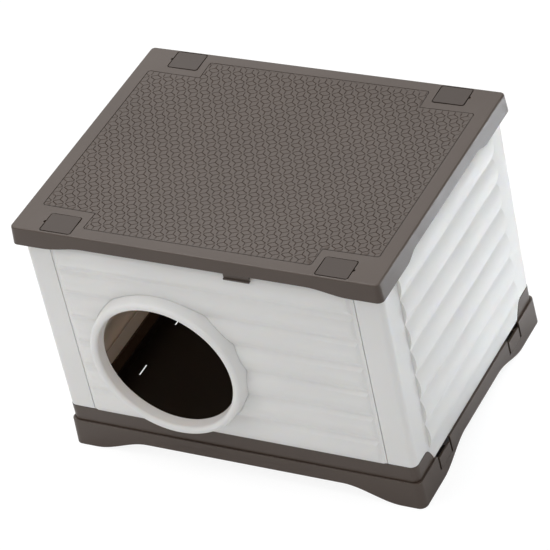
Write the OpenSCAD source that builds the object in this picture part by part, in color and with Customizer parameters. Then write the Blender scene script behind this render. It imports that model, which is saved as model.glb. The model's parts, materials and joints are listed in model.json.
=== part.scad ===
// Flat-roofed pet house of moulded plastic panels: a base frame with a floor panel, four boarded walls,
// a round entrance ring, a lift-off roof with four plug caps, and four spring clips that hold the floor.
// Millimetres, +Z up, front towards -Y, feet on Z = 0, origin under the middle of the overall outline.

/* [Walls] */
// Width of the wall box across the front
wall_w = 484; // [440:1:540]
// Depth of the wall box from front to rear
wall_d = 361; // [330:1:420]
// Height of the wall tops above the ground
wall_top = 351; // [343:1:400]
// Thickness of the moulded wall sheet
wall_t = 3; // [2.5:0.1:3.5]
// Outside radius of the wall box's upright corners
corner_r = 9; // [8:0.5:14]
// Width of the strip that each side wall turns round onto the front and the rear
return_w = 36.5; // [30:0.5:50]
// Open seam between a front or rear wall and the side wall beside it
seam_gap = 1; // [0.4:0.1:1.5]
// How far a front or rear wall laps behind the side wall's strip
lap_w = 12; // [8:1:16]
// Set-back of the wall foot that stands inside the base's upstand
foot_setback = 2; // [1.6:0.1:2.4]

/* [Boards] */
// Plain strip of wall above the boards
top_strip = 17.5; // [14:0.5:24]
// Number of boards in a wall
board_count = 7; // [5:1:7]
// How far a board swells out of the flat wall
board_bulge = 5; // [3:0.5:5.5]
// Height of the lowest groove above the ground
first_groove_z = 60.5; // [59:0.5:64]
// Half height of the rounded valley between two boards
valley_half = 3.2; // [2.8:0.1:3.8]
// Radius of the rounded valley
valley_r = 6; // [5:0.5:7]
// Flat border at each end of a side wall's boards
side_border = 40.5; // [36:0.5:48]
// Flat border at each end of a front or rear wall's boards
front_border = 1; // [0.5:0.5:4]
// Length over which a front or rear wall's boards die out at each end
board_fade = 12; // [8:1:16]

/* [Entrance] */
// Place of the entrance across the front, from the middle
ring_x = -69.5; // [-80:0.5:60]
// Height of the entrance's centre above the ground
ring_z = 172; // [171:0.5:190]
// Radius of the open bore at the rim
ring_bore_r = 92; // [75:0.5:94]
// Breadth of the rounded rim
ring_rim_w = 11; // [10:0.5:14]
// How far the ring stands out of the flat wall
ring_proud = 22; // [16:0.5:26]
// How much wider the ring is at the wall than at its rim
ring_flare = 2.5; // [1:0.1:3]
// Depth of the short tunnel behind the rim's crest
ring_tunnel = 16.5; // [14:0.5:18]
// Narrowing of the bore from the rim to its inner end
ring_draft = 1.5; // [0.5:0.1:2]
// Wall thickness of the hollow ring
ring_shell = 2.6; // [2:0.1:3]

/* [Base] */
// Height of the ledge round the base, on which the walls stand
ledge_z = 39; // [38.5:0.5:44]
// Height of the upstand above the ledge
upstand_h = 23.5; // [22:0.5:25]
// How far the upstand stands proud of the flat wall
upstand_proud = 0.6; // [0.5:0.1:1.2]
// Visible width of the ledge outside the upstand
ledge_w = 2.4; // [2.2:0.1:5]
// Width of the groove in the ledge, beside the upstand
ledge_groove_w = 1; // [0.6:0.1:1.2]
// Depth of that groove
ledge_groove_d = 1; // [0.5:0.1:1.5]
// Radius of the base's upright corners at the ledge
base_corner_r = 8; // [6:0.5:14]
// How far the skirt flares outward from the ledge to the ground
base_flare = 1.8; // [1:0.1:3]
// Thickness of the skirt at the ledge, and of the ledge itself
base_t = 3; // [2.5:0.1:3.5]
// Height of the inner rim above the ledge
inner_rim_h = 10; // [6:0.5:12]
// Thickness of the inner rim
inner_rim_t = 2.4; // [2:0.1:3]
// Length of each foot under the front and the rear, from the wall's corner
front_foot = 27; // [20:1:45]
// Length of the curve from that arch down to each foot
front_arch_run = 77; // [60:1:80]
// Height of the arch under the front and the rear
front_arch_h = 18.5; // [12:0.5:20]
// Length of each foot under the sides, from the wall's corner
side_foot = 54.5; // [50:0.5:75]
// Length of the curve from that arch down to each foot
side_arch_run = 72; // [50:1:75]
// Height of the arch under each side
side_arch_h = 17.3; // [10:0.1:18]
// Length of the upstand along each side, from the wall's corner, at the ledge
upstand_len = 47; // [44:0.5:55]
// Length of the rounded slope at each end of that gap
upstand_slope = 17; // [12:1:18]

/* [Floor] */
// Height of the floor panel's upper face above the ground
floor_top = 18; // [16:0.5:20]
// Thickness of the floor panel
floor_t = 3; // [2.5:0.1:3.4]
// Height of the floor panel's turned-up edge
tray_edge_h = 12; // [10:0.5:12]
// Thickness of that edge
tray_edge_t = 2; // [1.6:0.1:2.4]
// Length of a slot in the floor
slot_len = 22; // [15:1:30]
// Width of a slot in the floor
slot_w = 3.5; // [3:0.5:6]
// Distance from a slot to the wall's outer face
slot_inset = 28; // [22:1:40]
// Distance between the two slots of one side
slot_pitch = 103; // [80:1:130]

/* [Clips] */
// Distance from a clip's middle to the wall's corner
clip_inset = 69.5; // [69:0.5:85]
// Width of a clip
clip_w = 31; // [26:1:34]
// Open slot at each side of a clip
clip_slot = 3.5; // [2:0.5:4]
// How much narrower than the clip the floor panel's lug behind it is
lug_margin = 9; // [6:0.5:12]
// Height of a clip's barb
barb_h = 2.4; // [2:0.1:2.6]
// How far a clip's top lies below the ledge
clip_drop = 6; // [5:0.5:6]
// Height of the clip's bending line above the ground
clip_root_z = 16.5; // [14:0.5:20]
// Thickness of a clip
clip_t = 2.6; // [2.2:0.1:2.8]
// How far a clip's barb reaches over the floor panel's lug
barb_reach = 1; // [0.6:0.1:1.2]

/* [Roof] */
// Overhang of the roof's skirt past the flat side walls
overhang_side = 8; // [8:0.5:14]
// Overhang of the roof's skirt past the flat front and rear walls
overhang_front = 12.5; // [11.5:0.5:16]
// Thickness of the roof sheet
roof_t = 3; // [2.5:0.1:3.5]
// Height of the skirt at the corners
skirt_h = 25.5; // [22:0.5:30]
// How much shorter the skirt is along the middle of each side
skirt_rise = 7; // [4:0.5:8]
// How far the skirt flares outward from top to bottom
skirt_flare = 2.1; // [1.5:0.1:3]
// Thickness of the skirt at its top
skirt_t = 3; // [2.5:0.1:3]
// Radius of the roof's corners at the top
roof_corner_r = 6; // [3:0.5:12]
// Length of the full skirt at each corner, front and rear
front_skirt_corner = 43; // [35:1:55]
// Length of the curve from there to the full skirt, front and rear
front_skirt_run = 57; // [40:1:70]
// Length of the full skirt at each corner, left and right
side_skirt_corner = 73.5; // [60:0.5:85]
// Length of the curve from there to the full skirt, left and right
side_skirt_run = 27; // [20:1:40]
// Dip of the roof sheet at its middle
roof_sag = 6.5; // [3:0.5:8]
// Flat border of the roof beside the dip, left and right
sag_border_side = 18; // [14:1:30]
// Flat border of the roof beside the dip, front and rear
sag_border_front = 15.7; // [15:0.1:25]
// Height of the seat under the roof sheet that rests on the walls
seat_h = 3; // [3:0.1:4]
// Depth of the ribs that keep the roof from sliding
locator_h = 11; // [8:1:16]

/* [Caps] */
// Size of a cap across the roof
cap_w = 41.5; // [36:0.5:46]
// Size of a cap from front to rear
cap_d = 32.5; // [28:0.5:34]
// Thickness of a cap
cap_t = 2.5; // [2.2:0.1:2.6]
// Radius of a cap's corners
cap_r = 2.5; // [1.5:0.5:5]
// Distance from a cap's outer edge to the roof's side edge
cap_inset_side = 41.3; // [36:0.1:46]
// Distance from a cap's outer edge to the roof's front or rear edge
cap_inset_front = 3.6; // [2.6:0.1:5]
// Gap round a cap
cap_gap = 1.2; // [0.3:0.1:1.4]
// Radius of the pry notch beside a cap
notch_r = 2.2; // [1.5:0.1:3]
// Length of the plug below a cap
plug_h = 10; // [6:0.5:12]
// Width of the plug
plug_w = 24; // [16:0.5:28]
// Size of the plug from front to rear
plug_d = 10; // [6:0.5:10]

/* [Tab] */
// Place of the lift tab along the front, from the middle
tab_x = 57; // [-120:1:120]
// Width of the lift tab
tab_w = 35; // [25:1:45]
// Thickness of the lift tab
tab_t = 2.2; // [1.8:0.1:2.2]
// How far the tab hangs below the middle of the front skirt
tab_drop = 12; // [8:0.5:12]
// Height of the tab above the skirt's lower edge, against its inside
tab_root = 10; // [6:0.5:12]
// How far the lip at the tab's lower end turns out to the front
tab_lip = 2; // [1:0.1:2.5]

/* [Fit] */
// Clearance between pieces that sit beside each other
fit_gap = 0.3; // [0.2:0.05:0.35]

/* [Hidden] */
$fn = 96;
// Small overshoot of every cut
eps = 1;
// Smallest corner radius of an inner outline
least_r = 1;
// Points along one eased curve
ease_steps = 14;
// Steps round the entrance's rim
rim_steps = 24;
// Cells of the dipped roof sheet, across and from front to rear
sag_cells = [12, 10];

white = [0.86, 0.86, 0.85];
brown = [0.32, 0.29, 0.27];
black = [0.05, 0.05, 0.05];

half_w = wall_w / 2;
half_d = wall_d / 2;

// The boards share the height between the lowest groove and the plain strip
board_pitch = (wall_top - top_strip - first_groove_z) / board_count;
// The arc of one board: its radius, and how far its centre lies behind the flat wall
board_r = (pow(board_pitch / 2, 2) + pow(board_bulge, 2)) / (2 * board_bulge);
board_back = board_r - board_bulge;
// The valley between two boards: how far out its edges and its centre lie, and the fill under it
valley_rise = sqrt(pow(board_r, 2) - pow(board_pitch / 2 - valley_half, 2)) - board_back;
valley_out = valley_rise + sqrt(pow(valley_r, 2) - pow(valley_half, 2));
fill_half = 0.75 * valley_half;
fill_arc = sqrt(pow(board_r, 2) - pow(board_pitch / 2 - fill_half, 2)) - board_back;
fill_valley = valley_out - sqrt(pow(valley_r, 2) - pow(fill_half, 2));
fill_rise = (fill_arc + fill_valley) / 2;
// Half length of a front or rear wall, of its boards, and of the hollow behind them
end_half = half_w - return_w - seam_gap;
end_board_half = end_half - front_border;
end_hollow_half = end_board_half - board_fade;

// The ring
ring_outer_r = ring_bore_r + ring_rim_w;
rim_r = ring_rim_w / 2;
ring_seat = 2;
ring_foot_r = ring_outer_r + ring_flare;
ring_side_h = ring_proud - rim_r;
tunnel_end = ring_proud - ring_tunnel;
wall_hole_r = ring_foot_r - ring_shell - ring_seat;

// The base: half sizes are the wall's plus these
upstand_out = upstand_proud;
upstand_in = -foot_setback + fit_gap;
ledge_out = upstand_proud + ledge_w;
skirt_out = ledge_out + base_flare;
ledge_box_w = wall_w + 2 * ledge_out;
ledge_box_d = wall_d + 2 * ledge_out;
upstand_top = ledge_z + upstand_h;
wall_foot_z = upstand_top + fit_gap;
foot_lap = 7;
lap_root = 4;
upstand_gap = half_d - upstand_len;
tongue_slack = 0.2;
tongue_gap = fit_gap + tongue_slack;
front_arch_flat = 2 * (half_w - front_foot - front_arch_run);
side_arch_flat = 2 * (half_d - side_foot - side_arch_run);
rim_out = -foot_setback - wall_t - fit_gap;
rim_in = rim_out - inner_rim_t;
flange_w = 6;
flange_z = floor_top - floor_t;
tray_top = floor_top + tray_edge_h;
lug_z = tray_top - floor_t;
flange_t = 2;

// The clips: the skirt's outer face leans, so its place depends on the height
function skirt_face(z) = half_w + skirt_out - base_flare * z / ledge_z;
clip_y = half_d - clip_inset;
lug_gap = 0.9;
clip_top_z = ledge_z - clip_drop;
knuckle_r = clip_t / 2;
knuckle_gap = 0.06;
lug_w = clip_w - lug_margin;
lug_end = skirt_face(tray_top) - clip_t - lug_gap;
notch_in = half_w - foot_setback;

// The roof
roof_w = wall_w + 2 * overhang_side;
roof_d = wall_d + 2 * overhang_front;
roof_top = wall_top + seat_h + roof_t;
skirt_z = roof_top - skirt_h;
sheet_z = roof_top - roof_t;
front_skirt_flat = roof_w - 2 * (front_skirt_corner + front_skirt_run);
side_skirt_flat = roof_d - 2 * (side_skirt_corner + side_skirt_run);
top_w = roof_w - 2 * skirt_flare;
top_d = roof_d - 2 * skirt_flare;
inner_w = top_w - 2 * skirt_t;
inner_d = top_d - 2 * skirt_t;
sag_w = top_w - 2 * sag_border_side;
sag_d = top_d - 2 * sag_border_front;
cap_x = top_w / 2 - cap_inset_side - cap_w / 2;
cap_y = top_d / 2 - cap_inset_front - cap_d / 2;
pocket_floor_t = 3;
pocket_wall = 2.4;
seat_margin = 1;
seat_w = wall_t + 2 * seat_margin;
locator_t = 2.4;
locator_gap = 0.6;
plug_clear = 2;
plug_y = half_d - 2 * wall_t - fit_gap - plug_clear - plug_d / 2;

// The outline's middle: the ring stands further out than the roof does
frame_y = max(0, ring_proud - overhang_front) / 2;

// Eased step from 0 to 1
function ease(t) = t * t * (3 - 2 * t);

// Points of an edge that is level in the middle and falls to the foot at both ends
function arched(flat, run, low, high) =
    let (rise = [for (i = [0 : ease_steps]) let (t = i / ease_steps)
        [flat / 2 + run * (1 - t), low + (high - low) * ease(t)]])
    concat([for (p = rise) [-p[0], p[1]]], [for (i = [ease_steps : -1 : 0]) rise[i]]);

// Half length of the upstand's gap at a share of its height
function gap_half(t) = upstand_gap + upstand_slope * asin(t) / 90;

// Everything sits so that the overall outline is centred
module placed() {
    translate([0, frame_y, 0]) children();
}

// Rectangle with round corners
module plan(w, d, r) {
    square([w - 2 * r, d], center = true);
    square([w, d - 2 * r], center = true);
    for (sx = [-1, 1], sy = [-1, 1])
        translate([sx * (w / 2 - r), sy * (d / 2 - r)]) circle(r);
}

// Plan of the wall box grown by a margin, concentric at the corners
module wall_plan(grow) {
    plan(wall_w + 2 * grow, wall_d + 2 * grow, max(corner_r + grow, least_r));
}

module wall_slab(grow, z0, z1) {
    translate([0, 0, z0]) linear_extrude(z1 - z0) wall_plan(grow);
}

// Slab whose sides lean outward towards the bottom by flare, with corner radius r at the top
module flared_slab(w, d, r, flare, h) {
    lean_x = [[-w / 2 - flare, 0], [w / 2 + flare, 0], [w / 2, h], [-w / 2, h]];
    lean_y = [[-d / 2 - flare, 0], [d / 2 + flare, 0], [d / 2, h], [-d / 2, h]];
    rotate([90, 0, 0]) linear_extrude(d - 2 * r, center = true) polygon(lean_x);
    rotate([90, 0, 90]) linear_extrude(w - 2 * r, center = true) polygon(lean_y);
    for (sx = [-1, 1], sy = [-1, 1])
        translate([sx * (w / 2 - r), sy * (d / 2 - r), 0]) cylinder(h = h, r1 = r + flare, r2 = r);
}

// Cut below an arched edge, running right through from front to rear
module arch_cut(flat, run, low, high, length) {
    rotate([90, 0, 0]) linear_extrude(length, center = true)
        polygon(concat(
            [[-flat / 2 - run, low - eps]], arched(flat, run, low, high), [[flat / 2 + run, low - eps]]
        ));
}

module box(x0, x1, y0, y1, z0, z1) {
    translate([x0, y0, z0]) cube([x1 - x0, y1 - y0, z1 - z0]);
}

// Stack of board arcs, seen from the end: outward along x, height along y
module board_arcs(r) {
    for (k = [0 : board_count - 1])
        translate([0, first_groove_z + board_pitch * (k + 0.5)])
            intersection() {
                translate([-board_back, 0]) circle(r);
                translate([-wall_t - eps, -board_pitch / 2])
                    square([wall_t + eps + board_bulge + eps, board_pitch]);
            }
}

// Section of a wall's boards, with a rounded valley between each two
module board_section() {
    difference() {
        union() {
            intersection() {
                board_arcs(board_r);
                translate([-wall_t / 2, 0]) square([wall_t / 2 + board_bulge + eps, wall_top]);
            }
            for (k = [1 : board_count - 1])
                translate([-wall_t / 2, first_groove_z + board_pitch * k - fill_half])
                    square([wall_t / 2 + fill_rise, 2 * fill_half]);
        }
        for (k = [1 : board_count - 1])
            translate([valley_out, first_groove_z + board_pitch * k]) circle(valley_r);
    }
}

// Boards of one wall, facing +X, on the flat wall at x = face
module boards(face, length) {
    translate([face, 0, 0]) rotate([90, 0, 0]) linear_extrude(length, center = true)
        board_section();
}

// Hollow behind the boards of one wall
module board_hollows(face, length) {
    translate([face, 0, 0]) rotate([90, 0, 0]) linear_extrude(length, center = true)
        board_arcs(board_r - wall_t);
}

// Room for the boards of one wall, facing +X: the boards die out smoothly at both ends
module eased_ends(face, half_len) {
    rise = [for (i = [0 : ease_steps]) let (t = i / ease_steps)
        [face + board_bulge * ease(t), half_len - board_fade * t]];
    translate([0, 0, wall_foot_z]) linear_extrude(wall_top - wall_foot_z)
        polygon(concat(
            [[face - wall_t, -half_len]], [for (p = rise) [p[0], -p[1]]],
            [for (i = [ease_steps : -1 : 0]) rise[i]], [[face - wall_t, half_len]]
        ));
}

// Right-hand side wall, with its strips round the corners
module side_wall() {
    board_len = wall_d - 2 * side_border;
    difference() {
        union() {
            intersection() {
                difference() {
                    wall_slab(0, wall_foot_z, wall_top);
                    wall_slab(-wall_t, wall_foot_z - eps, wall_top + eps);
                }
                box(half_w - return_w, half_w + eps, -half_d - eps, half_d + eps, 0, wall_top);
            }
            intersection() {
                difference() {
                    wall_slab(-foot_setback, ledge_z, wall_foot_z + foot_lap);
                    wall_slab(-foot_setback - wall_t, ledge_z - eps, wall_foot_z + foot_lap + eps);
                }
                box(half_w - return_w, half_w, -half_d, half_d, 0, wall_top);
            }
            translate([half_w - wall_t, 0, 0]) rotate([90, 0, 90]) linear_extrude(wall_t)
                side_tongue(-tongue_gap, wall_foot_z + eps);
            boards(half_w, board_len);
        }
        board_hollows(half_w, board_len - 2 * wall_t);
    }
}

// Outline of the gap in the upstand, grown by a margin
module side_tongue(grow, top) {
    right = [for (i = [0 : ease_steps]) let (t = i / ease_steps)
        [gap_half(t) + grow, ledge_z + upstand_h * t]];
    left = [for (i = [ease_steps : -1 : 0]) [-right[i][0], right[i][1]]];
    tip = gap_half(1) + grow;
    polygon(concat(right, [[tip, top], [-tip, top]], left));
}

// Front or rear wall, built facing +X
module end_wall() {
    lap_back = half_d - wall_t - fit_gap;
    difference() {
        union() {
            box(half_d - wall_t, half_d, -end_half, end_half, wall_foot_z, wall_top);
            box(half_d - foot_setback - wall_t, half_d - foot_setback, -end_half, end_half,
                ledge_z, wall_foot_z + foot_lap);
            intersection() {
                boards(half_d, 2 * end_board_half);
                eased_ends(half_d, end_board_half);
            }
            for (s = [-1, 1]) mirror([0, s < 0 ? 1 : 0, 0]) {
                box(lap_back - wall_t, half_d - wall_t / 2, end_half - lap_root, end_half,
                    wall_foot_z + foot_lap, wall_top);
                box(lap_back - wall_t, lap_back, end_half - lap_root, end_half + seam_gap + lap_w,
                    wall_foot_z + foot_lap + eps, wall_top);
            }
        }
        children();
    }
}

// Round bar along the entrance's axis, from radius r0 at x0 to r1 at x1
module ring_bar(r0, r1, x0, x1) {
    translate([x0, ring_x, ring_z]) rotate([0, 90, 0]) cylinder(h = x1 - x0, r1 = r0, r2 = r1);
}

module base_frame() {
    color(brown) difference() {
        union() {
            difference() {
                union() {
                    flared_slab(ledge_box_w, ledge_box_d, base_corner_r, base_flare, ledge_z);
                    wall_slab(upstand_out, ledge_z - eps, upstand_top);
                }
                wall_slab(upstand_in, ledge_z, upstand_top + eps);
                wall_slab(upstand_out, -eps, ledge_z - base_t);
                wall_slab(rim_in, -eps, ledge_z + eps);
                difference() {
                    wall_slab(upstand_out + ledge_groove_w, ledge_z - ledge_groove_d, ledge_z + eps);
                    wall_slab(upstand_out, ledge_z - ledge_groove_d - eps, ledge_z + 2 * eps);
                }
                arch_cut(front_arch_flat, front_arch_run, 0, front_arch_h, 2 * ledge_box_d);
                rotate([0, 0, 90])
                    arch_cut(side_arch_flat, side_arch_run, 0, side_arch_h, 2 * ledge_box_w);
                for (s = [0, 180]) rotate([0, 0, s])
                    translate([half_w - foot_setback, 0, 0]) rotate([90, 0, 90])
                        linear_extrude(foot_setback + upstand_out + eps) side_tongue(0, upstand_top + eps);
            }
            difference() {
                wall_slab(rim_out, flange_z - flange_t, ledge_z + inner_rim_h);
                wall_slab(rim_in, flange_z, ledge_z + inner_rim_h + eps);
                wall_slab(rim_in - flange_w, flange_z - flange_t - eps, flange_z + eps);
            }
        }
        for (sx = [0, 1], sy = [-1, 1]) mirror([sx, 0, 0]) translate([0, sy * clip_y, 0]) {
            box(notch_in, half_w + skirt_out + eps, -clip_w / 2 - clip_slot, clip_w / 2 + clip_slot,
                clip_root_z, ledge_z + eps);
            translate([skirt_face(clip_root_z) - knuckle_r, 0, clip_root_z]) rotate([90, 0, 0])
                cylinder(h = clip_w + 2 * clip_slot, r = knuckle_r + knuckle_gap, center = true);
            box(half_w + rim_in - eps, half_w + rim_out + eps, -lug_w / 2 - fit_gap, lug_w / 2 + fit_gap,
                lug_z - fit_gap, tray_top + fit_gap);
        }
    }
}

module floor_panel() {
    color(black) difference() {
        union() {
            difference() {
                wall_slab(rim_in - fit_gap, flange_z, tray_top);
                wall_slab(rim_in - fit_gap - tray_edge_t, floor_top, tray_top + eps);
            }
            for (sx = [0, 1], sy = [-1, 1]) mirror([sx, 0, 0])
                box(half_w + rim_in - eps, lug_end, sy * clip_y - lug_w / 2, sy * clip_y + lug_w / 2,
                    lug_z, tray_top);
        }
        for (sx = [-1, 1], sy = [-1, 1]) translate([sx * (half_w - slot_inset), sy * slot_pitch / 2, 0])
            box(-slot_w / 2, slot_w / 2, -slot_len / 2, slot_len / 2, flange_z - eps, floor_top + eps);
    }
}

module front_wall() {
    color(white) rotate([0, 0, -90]) difference() {
        end_wall() difference() {
            board_hollows(half_d, 2 * end_hollow_half);
            ring_bar(ring_foot_r + wall_t, ring_foot_r + wall_t, half_d - 4 * wall_t, half_d + board_bulge);
        }
        ring_bar(wall_hole_r, wall_hole_r, half_d - 4 * wall_t, half_d + eps);
        ring_bar(ring_foot_r + fit_gap, ring_outer_r + fit_gap, half_d, half_d + ring_side_h);
    }
}

module rear_wall() {
    color(white) rotate([0, 0, 90]) end_wall()
        board_hollows(half_d, 2 * end_hollow_half);
}

module right_wall() {
    color(white) side_wall();
}

module left_wall() {
    color(white) mirror([1, 0, 0]) side_wall();
}

// Half round of the ring's rim, from its inner edge over the crest to its outer edge
function rim_arc(r) = [for (i = [0 : rim_steps]) let (a = 180 - 180 * i / rim_steps)
    [ring_bore_r + rim_r + r * cos(a), ring_proud - rim_r + r * sin(a)]];

// Section of the hollow ring: radius along x, distance out of the flat wall along y
module ring_section() {
    tunnel_r = ring_bore_r - ring_draft;
    outside = concat([[tunnel_r, tunnel_end]], rim_arc(rim_r), [[ring_foot_r, 0]]);
    inside = concat(
        [[tunnel_r + ring_shell, tunnel_end]], rim_arc(rim_r - ring_shell), [[ring_foot_r - ring_shell, 0]]
    );
    polygon(concat(outside, [for (i = [len(inside) - 1 : -1 : 0]) inside[i]]));
}

module entrance_ring() {
    color(white) translate([ring_x, -half_d, ring_z]) rotate([90, 0, 0]) rotate_extrude() ring_section();
}

// The roof's dipped sheet, a grid of cells between two parallel surfaces
module dipped_sheet() {
    nx = sag_cells[0];
    ny = sag_cells[1];
    row = nx + 1;
    count = row * (ny + 1);
    function u(i) = 2 * i / nx - 1;
    function v(j) = 2 * j / ny - 1;
    function dip(i, j) = roof_sag * (1 - pow(u(i), 2)) * (1 - pow(v(j), 2));
    function at(i, j) = j * row + i;
    function level(z) = [for (j = [0 : ny], i = [0 : nx])
        [u(i) * sag_w / 2, v(j) * sag_d / 2, z - dip(i, j)]];
    upper = [for (j = [0 : ny - 1], i = [0 : nx - 1], t = [0, 1])
        t == 0 ? [at(i, j), at(i + 1, j + 1), at(i + 1, j)] : [at(i, j), at(i, j + 1), at(i + 1, j + 1)]];
    lower = [for (f = upper) [f[2] + count, f[1] + count, f[0] + count]];
    ring = concat(
        [for (i = [0 : nx - 1]) at(i, 0)], [for (j = [0 : ny - 1]) at(nx, j)],
        [for (i = [nx : -1 : 1]) at(i, ny)], [for (j = [ny : -1 : 1]) at(0, j)]
    );
    n = len(ring);
    side = [for (k = [0 : n - 1], t = [0, 1])
        t == 0 ? [ring[k], ring[(k + 1) % n], ring[k] + count]
               : [ring[(k + 1) % n], ring[(k + 1) % n] + count, ring[k] + count]];
    polyhedron(concat(level(roof_top), level(sheet_z)), concat(upper, lower, side));
}

// Repeats its children at the four caps
module at_caps() {
    for (sx = [-1, 1], sy = [-1, 1]) translate([sx * cap_x, sy * cap_y, 0]) children();
}

module roof() {
    pocket_z = roof_top - cap_t;
    color(brown) difference() {
        union() {
            difference() {
                translate([0, 0, skirt_z]) flared_slab(top_w, top_d, roof_corner_r, skirt_flare, skirt_h);
                translate([0, 0, skirt_z - eps]) linear_extrude(skirt_h - roof_t + eps)
                    plan(inner_w, inner_d, max(roof_corner_r - skirt_t, least_r));
                box(-sag_w / 2, sag_w / 2, -sag_d / 2, sag_d / 2, sheet_z - eps, roof_top + eps);
                arch_cut(front_skirt_flat, front_skirt_run, skirt_z, skirt_z + skirt_rise, 2 * roof_d);
                rotate([0, 0, 90])
                    arch_cut(side_skirt_flat, side_skirt_run, skirt_z, skirt_z + skirt_rise, 2 * roof_w);
            }
            dipped_sheet();
            for (sx = [0, 1], sy = [0, 1]) mirror([sx, 0, 0]) mirror([0, sy, 0])
                box(cap_x - cap_w / 2 - cap_gap - pocket_wall, cap_x + cap_w / 2 + cap_gap + pocket_wall,
                    cap_y - cap_d / 2 - cap_gap - pocket_wall, inner_d / 2 + skirt_t / 2,
                    pocket_z - pocket_floor_t, sheet_z + roof_t / 2);
            for (s = [-1, 1]) {
                translate([s * (half_w - wall_t / 2), 0, 0])
                    box(-seat_w / 2, seat_w / 2, -side_skirt_flat / 2, side_skirt_flat / 2,
                        wall_top, sheet_z + eps);
                translate([0, s * (half_d - wall_t / 2), 0])
                    box(-front_skirt_flat / 2, front_skirt_flat / 2, -seat_w / 2, seat_w / 2,
                        wall_top, sheet_z + eps);
                mirror([s < 0 ? 1 : 0, 0, 0]) translate([half_w - wall_t - locator_gap, 0, 0])
                    box(-locator_t, 0, -side_skirt_flat / 2, side_skirt_flat / 2,
                        sheet_z - locator_h, sheet_z + eps);
            }
        }
        at_caps() translate([0, 0, pocket_z]) linear_extrude(cap_t + eps)
            plan(cap_w + 2 * cap_gap, cap_d + 2 * cap_gap, cap_r + cap_gap);
        for (sx = [-1, 1], sy = [-1, 1]) {
            translate([sx * (cap_x + cap_w / 2 + cap_gap), sy * cap_y, pocket_z])
                cylinder(h = cap_t + eps, r = notch_r);
            translate([sx * cap_x, sy * plug_y, pocket_z])
                box(-plug_w / 2 - fit_gap, plug_w / 2 + fit_gap, -plug_d / 2 - fit_gap, plug_d / 2 + fit_gap,
                    -2 * pocket_floor_t, eps);
        }
    }
}

// Cap at one corner: a plate flush with the roof, on a plug that goes down through the pocket's floor
module cap(sx, sy) {
    color(brown) {
        translate([sx * cap_x, sy * cap_y, roof_top - cap_t]) linear_extrude(cap_t) plan(cap_w, cap_d, cap_r);
        translate([sx * cap_x, sy * plug_y, roof_top - cap_t])
            box(-plug_w / 2, plug_w / 2, -plug_d / 2, plug_d / 2, -plug_h, cap_t / 2);
    }
}

module lift_tab() {
    tab_low = skirt_z + skirt_rise - tab_drop;
    tab_high = skirt_z + skirt_rise + tab_root;
    color(brown) translate([tab_x, -inner_d / 2, 0]) {
        box(-tab_w / 2, tab_w / 2, 0, tab_t, tab_low, tab_high);
        box(-tab_w / 2, tab_w / 2, -tab_lip, tab_t / 2, tab_low, tab_low + tab_t);
    }
}

// Spring clip on the right-hand side: a leaning plate on a round root, with a barb over the floor's lug
module clip(side, y) {
    root = skirt_face(clip_root_z);
    tip = skirt_face(clip_top_z);
    barb_z = tray_top + fit_gap;
    barb_x = skirt_face(barb_z) - clip_t;
    section = [
        [root - clip_t, clip_root_z], [root, clip_root_z], [tip, clip_top_z], [tip - clip_t, clip_top_z]
    ];
    barb = [
        [lug_end - barb_reach, barb_z], [barb_x + knuckle_r, barb_z],
        [barb_x + knuckle_r, barb_z + barb_h], [barb_x, barb_z + barb_h]
    ];
    color(brown) mirror([side < 0 ? 1 : 0, 0, 0]) translate([0, y, 0]) rotate([90, 0, 0]) {
        linear_extrude(clip_w, center = true) {
            polygon(section);
            translate([root - knuckle_r, clip_root_z]) circle(knuckle_r);
        }
        linear_extrude(lug_w, center = true) polygon(barb);
    }
}

module front_left_cap() { cap(-1, -1); }
module front_right_cap() { cap(1, -1); }
module rear_left_cap() { cap(-1, 1); }
module rear_right_cap() { cap(1, 1); }

module front_left_clip() { clip(-1, -clip_y); }
module front_right_clip() { clip(1, -clip_y); }
module rear_left_clip() { clip(-1, clip_y); }
module rear_right_clip() { clip(1, clip_y); }

placed() base_frame();
placed() floor_panel();
placed() front_wall();
placed() rear_wall();
placed() left_wall();
placed() right_wall();
placed() entrance_ring();
placed() roof();
placed() lift_tab();
placed() front_left_cap();
placed() front_right_cap();
placed() rear_left_cap();
placed() rear_right_cap();
placed() front_left_clip();
placed() front_right_clip();
placed() rear_left_clip();
placed() rear_right_clip();
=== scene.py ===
# %% [markdown]
# # A flat-roofed pet house
# The house is moulded plastic: white boarded walls, a round entrance, a dark brown base and roof. The
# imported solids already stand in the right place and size, so this lesson only finishes them. Each piece
# gets soft moulded edges and a plastic finish, the roof gets its pressed pattern, and then the camera and
# light are set.

# %% The frame
import itertools
import json
import math

import bmesh
import bpy
import numpy as np
from mathutils import Matrix, Vector


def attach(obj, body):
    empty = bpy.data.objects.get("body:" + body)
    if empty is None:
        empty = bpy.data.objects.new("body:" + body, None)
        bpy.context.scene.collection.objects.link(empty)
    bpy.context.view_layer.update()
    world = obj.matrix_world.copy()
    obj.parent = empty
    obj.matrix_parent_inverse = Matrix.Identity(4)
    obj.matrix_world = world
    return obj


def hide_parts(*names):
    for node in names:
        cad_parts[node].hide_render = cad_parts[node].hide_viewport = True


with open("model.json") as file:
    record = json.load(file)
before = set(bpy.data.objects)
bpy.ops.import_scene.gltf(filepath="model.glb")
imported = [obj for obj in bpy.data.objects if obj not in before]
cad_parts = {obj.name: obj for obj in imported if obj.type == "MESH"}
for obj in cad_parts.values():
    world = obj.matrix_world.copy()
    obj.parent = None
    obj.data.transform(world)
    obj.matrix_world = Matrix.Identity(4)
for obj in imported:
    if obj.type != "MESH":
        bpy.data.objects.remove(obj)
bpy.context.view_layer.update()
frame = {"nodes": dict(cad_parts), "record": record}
MM = 0.001
bodies = frame["record"]["behaviour"]["bodies"]
body_of_node = {node: body for body, nodes in bodies.items() for node in nodes}
slot_of_node = {part["node"]: part["material_slot"] for part in frame["record"]["subparts"]}

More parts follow.
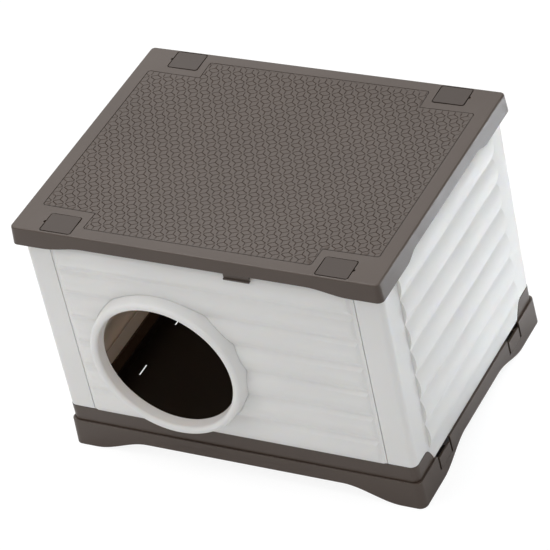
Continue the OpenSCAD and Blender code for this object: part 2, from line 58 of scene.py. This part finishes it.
# %% [markdown]
# ## Plastic
# Moulded plastic is never one flat colour. The melt leaves a faint cloudy change of tone, and the mould's
# surface leaves a fine grain that breaks up the shine. Both could be painted as pictures, but noise on
# Object coordinates needs no picture and stays with the piece when it moves. A slow noise mixes two close
# tones, and a fine noise drives the bump and a little of the roughness. The white walls are thin and a
# little milky, so some light wanders inside them, which the Subsurface value lets it do.

# %% Colours and noise
cloud_scale, cloud_detail, grain_detail = 9, 3, 2
ramp_ends = 0.3, 0.7
grain_strength, rough_swing = 0.35, 0.05
milk_scale, milk_radius = 3 * MM, (1.0, 0.72, 0.45)


def linear(*rgb):
    """Turns values from 0 to 255, as a picture shows them, into the linear values that a shader takes."""
    c = np.array(rgb, float) / 255
    c = np.where(c <= 0.04045, c / 12.92, ((c + 0.055) / 1.055) ** 2.4)
    return (*c.tolist(), 1.0)


def noise_on(tree, place, scale, detail):
    """A noise that lies on the piece's own coordinates."""
    noise = tree.nodes.new("ShaderNodeTexNoise")
    noise.inputs["Scale"].default_value = scale
    noise.inputs["Detail"].default_value = detail
    tree.links.new(place.outputs["Object"], noise.inputs["Vector"])
    return noise.outputs["Fac"]


print("noise scale of the clouds:", cloud_scale)

# %% One plastic
def cloudy_tone(tree, cloud, tone_a, tone_b):
    """A colour that drifts between two tones with the slow noise."""
    ramp = tree.nodes.new("ShaderNodeValToRGB")
    for stop, position, tone in zip(ramp.color_ramp.elements, ramp_ends, (tone_a, tone_b)):
        stop.position, stop.color = position, tone
    tree.links.new(cloud, ramp.inputs["Fac"])
    return ramp.outputs["Color"]


def plastic(name, tone_a, tone_b, rough, grain_scale, grain_depth, specular=0.5, milky=0.0):
    """A moulded plastic: slow noise between two tones, fine noise in the bump and in the roughness."""
    material = bpy.data.materials.new(name)
    material.use_nodes = True
    tree = material.node_tree
    shader = tree.nodes["Principled BSDF"]
    shader.inputs["Specular IOR Level"].default_value = specular
    shader.inputs["Subsurface Weight"].default_value = milky
    shader.inputs["Subsurface Radius"].default_value = milk_radius
    shader.inputs["Subsurface Scale"].default_value = milk_scale
    place = tree.nodes.new("ShaderNodeTexCoord")
    cloud = noise_on(tree, place, cloud_scale, cloud_detail)
    grain = noise_on(tree, place, grain_scale, grain_detail)
    bump = tree.nodes.new("ShaderNodeBump")
    bump.inputs["Strength"].default_value = grain_strength
    bump.inputs["Distance"].default_value = grain_depth
    spread = tree.nodes.new("ShaderNodeMapRange")
    spread.inputs["To Min"].default_value = rough - rough_swing
    spread.inputs["To Max"].default_value = rough + rough_swing
    tree.links.new(cloudy_tone(tree, cloud, tone_a, tone_b), shader.inputs["Base Color"])
    tree.links.new(grain, bump.inputs["Height"])
    tree.links.new(bump.outputs["Normal"], shader.inputs["Normal"])
    tree.links.new(grain, spread.inputs["Value"])
    tree.links.new(spread.outputs["Result"], shader.inputs["Roughness"])
    return material


white = plastic("white_wall_plastic", linear(222, 221, 219), linear(226, 225, 223),
                rough=0.42, grain_scale=700, grain_depth=0.08 * MM, milky=0.25)
print("made", white.name)

# %% The darker plastics
brown = plastic("brown_grained_plastic", linear(66, 53, 44), linear(71, 58, 49),
                rough=0.35, grain_scale=1100, grain_depth=0.12 * MM)
cap_brown = plastic("brown_cap_plastic", linear(54, 42, 34), linear(59, 47, 39),
                    rough=0.37, grain_scale=1100, grain_depth=0.12 * MM, specular=0.4)
black = plastic("black_floor_plastic", linear(20, 17, 14), linear(26, 23, 19),
                rough=0.4, grain_scale=900, grain_depth=0.1 * MM)
finish_of = {"white_plastic": white, "brown_plastic": brown, "black_plastic": black}
print("made", [material.name for material in (brown, cap_brown, black)])

# %% [markdown]
# ## Copies of the solids
# Each solid comes as loose triangles, which no tool for edges can follow. It could be dressed as it is,
# but then every edge would stay knife-sharp. So a copy is merged at its corners, to be finished and shown
# in its place, and the solid itself stays untouched and hidden.

# %% A merged copy, and a dressed piece
merge_gap = 2e-6
turn_limit = math.radians(36)


def merged(node):
    """A copy of a solid's mesh with its loose triangles joined at their corners."""
    source = frame["nodes"][node].data
    points = np.empty(len(source.vertices) * 3)
    source.vertices.foreach_get("co", points)
    corners = np.empty(len(source.loops), int)
    source.loops.foreach_get("vertex_index", corners)
    mesh = bpy.data.meshes.new(node + "_finish")
    mesh.from_pydata(points.reshape(-1, 3), [], corners.reshape(-1, 3))
    shape = bmesh.new()
    shape.from_mesh(mesh)
    bmesh.ops.remove_doubles(shape, verts=shape.verts, dist=merge_gap)
    return mesh, shape


def dressed(node, name, mesh, material):
    """Links a mesh as a piece that rides with its node's body and takes its finish."""
    mesh.shade_smooth()
    mesh.set_sharp_from_angle(angle=turn_limit)
    mesh.materials.append(material)
    piece = bpy.data.objects.new(name, mesh)
    bpy.context.scene.collection.objects.link(piece)
    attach(piece, body_of_node[node])
    return piece


print("edges that turn by more than", round(math.degrees(turn_limit)), "degrees count as sharp")

# %% [markdown]
# ## Soft moulded edges
# No moulding has knife edges: every corner has a small radius that catches a line of light. The flat
# triangles are joined first, and then a Bevel modifier rounds each sharp edge. It could take one angle
# and one width for all, but the roof's top edge needs more than the rest, so each edge carries a weight,
# its share of the width. A flat that runs right round an opening is hard to fill, so it is cut along a
# seam first, and the joining stops at seams.

# %% Seams, flats and bevels
cut_gap = 1e-6
bevel_steps = 3


def seam_cut(shape, geometry, at, along):
    """Cuts the geometry along a plane, marks the cut as a seam and gives back the geometry with its cuts."""
    cut = bmesh.ops.bisect_plane(shape, geom=geometry, plane_co=at, plane_no=along, dist=cut_gap)
    for part in cut["geom_cut"]:
        if isinstance(part, bmesh.types.BMEdge):
            part.seam = True
    return cut["geom"]


def joined_flats(shape, angle):
    """Joins flat neighbouring triangles, but not across a seam."""
    bmesh.ops.dissolve_limit(shape, angle_limit=angle, verts=shape.verts, edges=shape.edges,
                             delimit={"SEAM"})


def weigh_edges(shape, share):
    """Gives each edge that turns sharply its share of the bevel's full width."""
    weight = shape.edges.layers.float.new("bevel_weight_edge")
    for edge in shape.edges:
        if edge.is_manifold and edge.calc_face_angle(0) > turn_limit:
            edge[weight] = share(edge)


def softened(piece, width):
    """Rounds the edges, each by its own share of the width, and splits faces of five sides or more."""
    bevel = piece.modifiers.new("soft_edges", "BEVEL")
    bevel.width, bevel.segments, bevel.limit_method = width, bevel_steps, "WEIGHT"
    bevel.use_clamp_overlap, bevel.harden_normals = False, True
    bevel.miter_outer = "MITER_ARC"
    cuts = piece.modifiers.new("flat_cuts", "TRIANGULATE")
    cuts.min_vertices, cuts.keep_custom_normals = 5, True


print("steps round each edge:", bevel_steps)

# %% The pieces other than the roof
flat_angle = math.radians(0.4)
fine_radius = 0.25 * MM
edge_radius = {"base_frame": 0.45 * MM, "floor_panel": 0.4 * MM, "lift_tab": 0.4 * MM}


def cut_through_middle(shape):
    """Cuts a shape through its middle, across its two longest directions."""
    places = np.array([v.co for v in shape.verts])
    low, high = places.min(axis=0), places.max(axis=0)
    for axis in np.argsort(high - low)[1:]:
        everything = [*shape.faces, *shape.edges, *shape.verts]
        seam_cut(shape, everything, (low + high) / 2, np.eye(3)[axis])


for node in frame["nodes"]:
    if node == "roof":
        continue
    mesh, shape = merged(node)
    cut_through_middle(shape)
    joined_flats(shape, flat_angle)
    weigh_edges(shape, lambda edge: 1.0)
    shape.to_mesh(mesh)
    shape.free()
    finish = cap_brown if node.endswith("_cap") else finish_of[slot_of_node[node]]
    piece = dressed(node, node + "_finish", mesh, finish)
    softened(piece, edge_radius.get(node, fine_radius))
    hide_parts(node)
print("finished copies:", len(frame["nodes"]) - 1)

# %% [markdown]
# ## The panel's bed
# The roof's sheet dips a little in the middle, and its patterned panel lies almost flush with the border,
# in a bed shaped like two crossed rectangles, which leaves the four corners free for the caps. The bed
# could be cut with a Boolean, but that would disturb the thin sheet. So the roof's upper skin is cut
# along the bed's outline, the skin inside is taken away, and the cut edge is drawn down to make the bed's
# low wall. The outline's outer corners are arcs, cut by a few planes that touch each arc.

# %% Measures of the roof
top_slack = 0.01 * MM
roof_points = np.empty(len(frame["nodes"]["roof"].data.vertices) * 3)
frame["nodes"]["roof"].data.vertices.foreach_get("co", roof_points)
roof_points = roof_points.reshape(-1, 3)
roof_top = roof_points[:, 2].max()
middle_y = (roof_points[:, 1].max() + roof_points[:, 1].min()) / 2
on_top = roof_points[:, 2] > roof_top - top_slack
rim_half = np.abs(roof_points[on_top, :2] - (0, middle_y)).max(axis=0)
dish_border, dish_depth, sheet = np.array((18.0, 15.7)) * MM, 6.5 * MM, 2 * MM
dish_half = rim_half - dish_border
sheet_low = roof_top - dish_depth - sheet
print("roof top at", round(roof_top, 4), "rim half sizes", np.round(rim_half, 4).tolist())

# %% The dish and the bed's outline
bed_half, notch_half = np.array((227.7, 173.7)) * MM, np.array((154.0, 142.0)) * MM
bed_rectangles = (bed_half[0], notch_half[1]), (notch_half[0], bed_half[1])
bed_corner = 4.0 * MM


def dish(x, y):
    """Height of the dipped roof sheet: the dip is a product of two parabolas, nil at the dish's border."""
    u, v = x / dish_half[0], (y - middle_y) / dish_half[1]
    return roof_top - dish_depth * np.clip(1 - u**2, 0, 1) * np.clip(1 - v**2, 0, 1)


def inside_round(x, y, half):
    """How far a place lies inside a rectangle with round corners: near a corner, the radius less the distance
    from the arc's middle, and elsewhere the distance to the nearer side."""
    over_x, over_y = x - half[0] + bed_corner, y - half[1] + bed_corner
    past = np.hypot(np.maximum(over_x, 0), np.maximum(over_y, 0))
    return bed_corner - past - np.minimum(np.maximum(over_x, over_y), 0)


def inside_bed(x, y):
    """How far a place lies inside the bed's outline, two crossed rectangles: the larger of the two depths."""
    x, y = np.abs(x), np.abs(y - middle_y)
    return np.maximum(*(inside_round(x, y, half) for half in bed_rectangles))


print("dip in the middle:", round(roof_top - dish(0, middle_y), 4))

# %% Cuts along the bed's outline
flat_up, groove_up = 0.9, 0.01
corner_angles = np.radians((22.5, 45, 67.5))


def top_faces(shape, least_up):
    """The faces of the roof's upper skin."""
    return [face for face in shape.faces
            if face.normal.z > least_up and face.calc_center_median().z > sheet_low]


def with_edges(faces):
    """The faces with their edges and corners, each once and in a fixed order."""
    return faces + list(dict.fromkeys(part for face in faces for part in (*face.edges, *face.verts)))


def in_corner(face, middle, out, radius):
    """Tells whether a face of the bed reaches into the square that holds a corner's arc."""
    center = face.calc_center_median()
    inside = all((center[k] - middle[k]) * out[k] < radius for k in (0, 1))
    return inside and all(max((v.co[k] - middle[k]) * out[k] for v in face.verts) > 0 for k in (0, 1))


def cut_along_bed(shape, least_up, inset=0.0):
    """Cuts the upper skin along the lines and arcs of the bed's outline, moved in by the inset."""
    for axis, half, sign in itertools.product((0, 1), (bed_half, notch_half), (-1, 1)):
        at, along = [0, middle_y, 0], [0, 0, 0]
        at[axis], along[axis] = at[axis] + sign * (half[axis] - inset), 1
        seam_cut(shape, with_edges(top_faces(shape, least_up)), at, along)
    radius = bed_corner - inset
    for half, *out in itertools.product(bed_rectangles, (-1, 1), (-1, 1)):
        middle = Vector((out[0] * (half[0] - bed_corner), middle_y + out[1] * (half[1] - bed_corner), 0))
        near = [face for face in top_faces(shape, least_up) if in_corner(face, middle, out, radius)]
        parts = with_edges(near)
        for angle in corner_angles:
            along = Vector((out[0] * math.cos(angle), out[1] * math.sin(angle), 0))
            parts = seam_cut(shape, parts, middle + along * radius, along)


print("corners of the outline:", 4 * len(bed_rectangles), "each cut", len(corner_angles), "times")

# %% The roof with an open bed
roof_flat_angle = math.radians(0.2)
bed_wall = 2.2 * MM


def drawn_down(shape, edges, depth):
    """Hangs a wall from a row of edges: each edge is joined to its copy at the given depth below. Blender's
    own extrude would do it, but it gives its faces in another order each time, and the result would vary."""
    rim = dict.fromkeys(corner for edge in edges for corner in edge.verts)
    below = {corner: shape.verts.new(corner.co - Vector((0, 0, depth))) for corner in rim}
    for first, last in [edge.verts for edge in edges]:
        shape.faces.new((first, last, below[last], below[first]))


roof_mesh, shape = merged("roof")
shape.normal_update()
cut_along_bed(shape, flat_up)
skin = [face for face in top_faces(shape, flat_up) if inside_bed(*face.calc_center_median()[:2]) > 0]
bmesh.ops.delete(shape, geom=skin, context="FACES")
bed_edge = [edge for edge in shape.edges if edge.is_boundary]
drawn_down(shape, bed_edge, bed_wall)
shape.normal_update()
bmesh.ops.recalc_face_normals(shape, faces=shape.faces)
shape.normal_update()
joined_flats(shape, roof_flat_angle)
print("edges round the bed:", len(bed_edge))

# %% [markdown]
# ## The roof's lip
# The outer edge of the roof's top is rounder than the rest, and it shows as a soft line of light along
# the front. One Bevel modifier does both: the lip takes its full width, and the other edges a small share
# of it.

# %% The roof's edges
lip_radius, corner_reach, lip_slack = 2.2 * MM, 6.3 * MM, 0.02 * MM


def is_lip(edge):
    """Tells whether an edge belongs to the outer rim of the roof's top."""
    out = [np.abs(np.array(v.co[:2]) - (0, middle_y)) - rim_half for v in edge.verts]
    high = min(v.co.z for v in edge.verts) > roof_top - lip_slack
    return high and all(d.max() > -lip_slack or d.min() > -corner_reach for d in out)


weigh_edges(shape, lambda edge: 1.0 if is_lip(edge) else fine_radius / lip_radius)
shape.to_mesh(roof_mesh)
shape.free()
roof = dressed("roof", "roof_finish", roof_mesh, brown)
softened(roof, lip_radius)
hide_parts("roof")
print("roof faces:", len(roof_mesh.polygons))

# %% [markdown]
# ## The pressed pattern
# The panel is pressed with thin grooves: flattened hexagons in staggered rows, each with a short stem
# above and below. A bump could fake them, but real grooves catch the light from every side. One quarter
# of one cell is laid out as a few flat facets and grooves with a V section. It is mirrored into a
# whole cell, and numpy adds the cell to every place of the lattice at once.

# %% A quarter of a cell
pitch = np.array((17.25, 14.6)) * MM
hex_half, tip_half = np.array((6.6, 4.8)) * MM, 1.2 * MM
stem_gap, stem_tip = 2.3 * MM, 1.2 * MM
groove_half, groove_depth = 0.6 * MM, 1.0 * MM


def quarter_cell():
    """Corners and facets of a quarter cell. The hexagon's sides are moved out and in by half a groove to give
    the groove's edges, at height nil, and its own line lies at the groove's depth."""
    a, b = pitch / 2
    hx, hy = hex_half
    g, d = groove_half, -groove_depth
    across = np.array((hy - tip_half, hx)) / math.hypot(hx, hy - tip_half)
    reach = across @ (hx, tip_half)

    def side(x, move):
        """Height on the slanting side at x, with the side moved outward."""
        return (reach + move - across[0] * x) / across[1]

    end = stem_gap + stem_tip
    points = {"m": (0, 0, 0), "c1": (hx, 0, d), "c2": (hx, tip_half, d), "c3": (0, hy, d),
              "o1": (hx + g, 0, 0), "o2": (hx + g, side(hx + g, g), 0),
              "s1": (g, side(g, g), 0), "s2": (g, b, 0), "t": (0, b, d),
              "i1": (hx - g, 0, 0), "i2": (hx - g, side(hx - g, -g), 0), "i3": (0, side(0, -g), 0),
              "e": (a, 0, 0), "n1": (a, stem_gap, 0), "n2": (a, end, d),
              "n3": (a - g, end, 0), "n4": (a - g, b, 0), "n5": (a, b, d)}
    facets = ["m i1 i2 i3", "i1 c1 c2 i2", "c1 o1 o2 c2", "i2 c2 c3 i3", "c2 o2 s1 c3", "c3 s1 s2 t",
              "o1 e n1 o2", "o2 n1 n3", "o2 n3 n4 s2", "o2 s2 s1", "n1 n2 n3", "n3 n2 n5 n4"]
    names = list(points)
    numbered = [[names.index(name) for name in facet.split()] for facet in facets]
    return np.array(list(points.values())), numbered


corners, facets = quarter_cell()
print("quarter cell:", len(corners), "corners,", len(facets), "facets")

# %% A whole cell
flips = np.array(((1, 1, 1), (-1, 1, 1), (1, -1, 1), (-1, -1, 1)))
cell = np.concatenate([corners * flip for flip in flips])
cell_facets = []
for k, flip in enumerate(flips):
    order = 1 if flip.prod() > 0 else -1
    cell_facets += [[k * len(corners) + corner for corner in facet][::order] for facet in facets]
print("whole cell:", len(cell_facets), "facets")

# %% [markdown]
# ## The pressed panel
# The cells stand on a staggered lattice that covers the bed. Their grooves fade towards the bed's edge,
# and the whole sheet follows the roof's dip. It is trimmed a little smaller than the bed, which leaves
# the fine dark groove that runs round the panel.

# %% Lattice of cells
lattice_at = np.array((-3.8 * MM, -44.8 * MM + middle_y))
margin, run_out, step = 1.2 * MM, 2.0 * MM, 0.1 * MM
off_middle = np.abs(lattice_at - (0, middle_y))
most_columns, most_rows = np.ceil((bed_half + pitch + off_middle) / pitch).astype(int)
rows, columns = np.meshgrid(np.arange(-most_rows, most_rows + 1), np.arange(-most_columns, most_columns + 1),
                            indexing="ij")
across, along = (columns + rows % 2 / 2) * pitch[0], rows * pitch[1]
places = np.stack((lattice_at[0] + across, lattice_at[1] + along), -1).reshape(-1, 2)
places = places[(np.abs(places - (0, middle_y)) < bed_half + pitch).all(axis=1)]
points = np.repeat(cell[None], len(places), axis=0)
points[:, :, :2] += places[:, None]
points = points.reshape(-1, 3)
x, y = points[:, 0], points[:, 1]
points[:, 2] *= np.clip((inside_bed(x, y) - margin) / run_out, 0, 1)
points[:, 2] += dish(x, y) - step
print("cells:", len(places))

# %% Panel trimmed to the bed
bed_groove = 0.8 * MM
offsets = np.arange(len(places))[:, None] * len(cell)
polygons = [face for facet in cell_facets for face in (offsets + np.array(facet)).tolist()]
panel_mesh = bpy.data.meshes.new("roof_pressed_panel")
panel_mesh.from_pydata(points, [], polygons)
shape = bmesh.new()
shape.from_mesh(panel_mesh)
bmesh.ops.remove_doubles(shape, verts=shape.verts, dist=merge_gap)
shape.normal_update()
cut_along_bed(shape, groove_up, bed_groove)
outside = [face for face in shape.faces if inside_bed(*face.calc_center_median()[:2]) < bed_groove]
bmesh.ops.delete(shape, geom=outside, context="FACES")
shape.to_mesh(panel_mesh)
shape.free()
dressed("roof", "roof_pressed_panel", panel_mesh, brown)
print("panel facets:", len(panel_mesh.polygons))

# %% [markdown]
# ## Camera
# The photograph was taken from a good distance with a long lens, from the right and from above, with the
# camera tilted about its own axis. The camera's axes are worked out from those three angles and written
# as its matrix, because a tilted camera has no simple aim target.

# %% Camera
turn, rise, tilt = math.radians(33.823), math.radians(37.523), math.radians(-12.964)
picture_width, focal_pixels, sensor_width = 550, 3166.4, 36
distance, aim_left, aim_height = 3.9561, 11.79 * MM, 178.13 * MM
back = Vector((math.sin(turn) * math.cos(rise), -math.cos(turn) * math.cos(rise), math.sin(rise)))
level = Vector((math.cos(turn), math.sin(turn), 0))
over = back.cross(level)
right = math.cos(tilt) * level + math.sin(tilt) * over
up = -math.sin(tilt) * level + math.cos(tilt) * over
aim = Vector((0, middle_y, aim_height)) - level * aim_left
camera = bpy.data.objects.new("camera", bpy.data.cameras.new("camera"))
camera.data.sensor_width = sensor_width
camera.data.lens = sensor_width * focal_pixels / picture_width
stand = Matrix((right, up, back)).transposed().to_4x4()
stand.translation = aim + back * distance
camera.matrix_world = stand
bpy.context.scene.collection.objects.link(camera)
bpy.context.scene.camera = camera
print("camera at", [round(v, 3) for v in stand.translation], "lens", round(camera.data.lens, 1))

# %% [markdown]
# ## The white surroundings
# The photograph has a plain white background. More light on the house would give that too, but it would
# bleach the walls. So the world is white only where the camera sees it, or a shiny or clear piece shows
# it, and it gives half as much as light.

# %% World
fill_strength = 0.5
scene = bpy.context.scene
scene.view_settings.view_transform = "Standard"


def seen_or_mirrored(tree):
    """A value of 1 for rays that come from the camera, a mirror or a clear piece, and 0 for light."""
    path, first, both = (tree.nodes.new("ShaderNode" + kind) for kind in ("LightPath", "Math", "Math"))
    first.operation = both.operation = "MAXIMUM"
    tree.links.new(path.outputs["Is Camera Ray"], first.inputs[0])
    tree.links.new(path.outputs["Is Transmission Ray"], first.inputs[1])
    tree.links.new(first.outputs[0], both.inputs[0])
    tree.links.new(path.outputs["Is Glossy Ray"], both.inputs[1])
    return both.outputs[0]


world = bpy.data.worlds.new("studio")
scene.world = world
world.use_nodes = True
tree = world.node_tree
tree.nodes.clear()
kinds = ("Background", "Background", "MixShader", "OutputWorld")
fill, shown, blend, out = (tree.nodes.new("ShaderNode" + kind) for kind in kinds)
fill.inputs["Strength"].default_value = fill_strength
fill.inputs["Color"].default_value = shown.inputs["Color"].default_value = (1, 1, 1, 1)
tree.links.new(seen_or_mirrored(tree), blend.inputs[0])
tree.links.new(fill.outputs[0], blend.inputs[1])
tree.links.new(shown.outputs[0], blend.inputs[2])
tree.links.new(blend.outputs[0], out.inputs["Surface"])
print("fill light:", fill_strength)

# %% [markdown]
# ## Lamps
# Broad soft lamps give the photograph's even light: one overhead, one high on the right for the side
# wall, one behind that lays a sheen on the roof, and a narrow strip in front that draws a line along the
# roof's lip. The brown plastic mirrors the floor, and on the right that floor is bright. So three small
# lamps look straight down with a narrow spread and light only the floor, two of them on the right. Thin
# walls let some warm light into a real house. The copies let in too little, so a weak warm lamp inside
# stands in for it.

# %% Soft lamps
cool, warm = (0.88, 0.945, 1.0), (1.0, 0.68, 0.45)


def softbox(name, at, look_at, size, watts, tint=(1, 1, 1)):
    """An area light of the given width and length, turned to face a point and unseen by the camera."""
    lamp = bpy.data.lights.new(name, "AREA")
    lamp.shape, lamp.size, lamp.size_y = "RECTANGLE", *size
    lamp.energy, lamp.color = watts, tint
    holder = bpy.data.objects.new(name, lamp)
    holder.location = at
    holder.rotation_euler = (Vector(look_at) - Vector(at)).to_track_quat("-Z", "Y").to_euler()
    holder.visible_camera = False
    scene.collection.objects.link(holder)
    return holder


softbox("overhead", (-0.8, -0.1, 2.6), (-0.2, -0.1, 0.2), (1.8, 1.8), 29)
softbox("right_softbox", (1.6, -0.2, 2.4), (0.2, 0, 0.18), (1.2, 1.2), 10, cool)
softbox("rear_softbox", (-1.8, 2.4, 2.4), (0, 0, 0.35), (1.6, 1.6), 7)
softbox("front_strip", (-1.1, -1.5, 1.95), (0, -0.1, 0.3), (1.4, 0.2), 8)
print("soft lamps:", len(bpy.data.lights))

# %% Floor lamps and the inner lamp
glow_spread = math.radians(58)


def floor_glow(name, at, size, watts, tint=(1, 1, 1)):
    """A lamp that looks straight down and lights only a patch of floor."""
    below = Vector(at) - Vector((0, 0, 1))
    softbox(name, at, below, size, watts, tint).data.spread = glow_spread


floor_glow("left_glow", (-0.95, -0.65, 1.0), (0.5, 0.5), 0.3)
floor_glow("right_glow", (0.78, 0.62, 0.7), (0.3, 0.4), 4.6, cool)
floor_glow("near_glow", (0.4, 0.24, 0.36), (0.1, 0.5), 0.5, cool)
inner_lamp = softbox("inner_lamp", (0.1, 0.0, 0.3), (-0.22, 0.0, 0.1), (0.1, 0.1), 0.15, warm)
inner_lamp.visible_glossy = False
print("lamps in all:", len(bpy.data.lights))

# %% [markdown]
# ## Floor
# The floor is a wide sheet of white paper. To the camera most of it shows as plain white, and the rest as
# the lamps light it, so a faint shadow stays under the house. Shiny pieces see only the paper as it is
# lit: the brown plastic has to mirror the bright and the dim places of the floor, as it does in the
# photograph.

# %% White paper
white_share, white_strength = 0.8, 1.1
paper_tone, paper_rough = (0.93, 0.93, 0.93, 1), 0.9
paper = bpy.data.materials.new("white_sweep")
paper.use_nodes = True
tree = paper.node_tree
shader, out = tree.nodes["Principled BSDF"], tree.nodes["Material Output"]
shader.inputs["Base Color"].default_value = paper_tone
shader.inputs["Roughness"].default_value = paper_rough
kinds = ("LightPath", "Math", "Emission", "MixShader")
path, share, plain, blend = (tree.nodes.new("ShaderNode" + kind) for kind in kinds)
share.operation = "MULTIPLY"
share.inputs[1].default_value = white_share
plain.inputs["Strength"].default_value = white_strength
tree.links.new(path.outputs["Is Camera Ray"], share.inputs[0])
tree.links.new(share.outputs[0], blend.inputs[0])
tree.links.new(shader.outputs[0], blend.inputs[1])
tree.links.new(plain.outputs[0], blend.inputs[2])
tree.links.new(blend.outputs[0], out.inputs["Surface"])
print("share of plain white:", white_share)

# %% Floor
reach, drop = 30.0, 0.6 * MM
floor_corners = [(-reach, -reach, 0), (reach, -reach, 0), (reach, reach, 0), (-reach, reach, 0)]
floor_mesh = bpy.data.meshes.new("floor")
floor_mesh.from_pydata(floor_corners, [], [(0, 1, 2, 3)])
floor_mesh.materials.append(paper)
floor = bpy.data.objects.new("floor", floor_mesh)
floor.location.z = -drop
scene.collection.objects.link(floor)
print("floor side:", 2 * reach)
